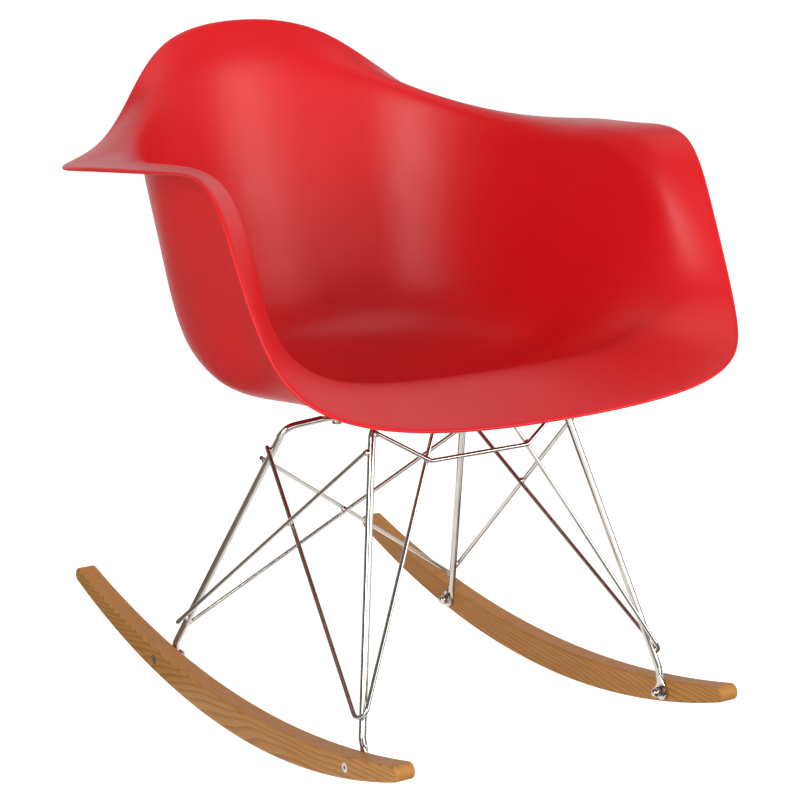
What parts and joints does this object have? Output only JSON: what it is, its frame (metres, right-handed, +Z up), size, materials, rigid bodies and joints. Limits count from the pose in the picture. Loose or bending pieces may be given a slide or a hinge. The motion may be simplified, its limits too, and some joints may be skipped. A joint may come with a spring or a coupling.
{
  "type": "rocking chair",
  "caption": "Armchair with a one-piece moulded plastic bucket seat on a welded base of thin steel rods, bolted to curved wooden rockers.",
  "frame": {"origin": "on the floor, on the mirror plane, under the middle of the rockers' length", "axes": "+Z up, the sitter faces -Y, the sitter's left is +X"},
  "size_m": [0.6128, 0.69, 0.6852],
  "materials": {
    "shell_plastic": "satin",
    "boss_plastic": "matte",
    "pad_rubber": "matte",
    "rod_chrome": "polished",
    "rocker_wood": "satin",
    "fastener_steel": "satin",
    "nut_chrome": "polished",
    "insert_brass": "satin",
    "screw_zinc": "satin"
  },
  "bodies": {
    "root": {"seat_shell": "shell_plastic", "seat_bosses": "boss_plastic", "mount_pads": "pad_rubber", "front_crossbar": "rod_chrome", "rear_cross_strut_left": "rod_chrome", "rear_cross_strut_right": "rod_chrome", "front_leg_left": "rod_chrome", "front_leg_right": "rod_chrome", "rear_leg_left": "rod_chrome", "rear_leg_right": "rod_chrome", "front_strut_left": "rod_chrome", "front_strut_right": "rod_chrome", "side_strut_left": "rod_chrome", "side_strut_right": "rod_chrome", "weld_beads": "rod_chrome", "rocker_left": "rocker_wood", "rocker_right": "rocker_wood", "rocker_bolts": "fastener_steel", "rocker_washers": "fastener_steel", "cap_nuts": "nut_chrome", "boss_inserts": "insert_brass", "mount_washers": "fastener_steel", "mount_screws": "screw_zinc"}
  },
  "joints": []
}
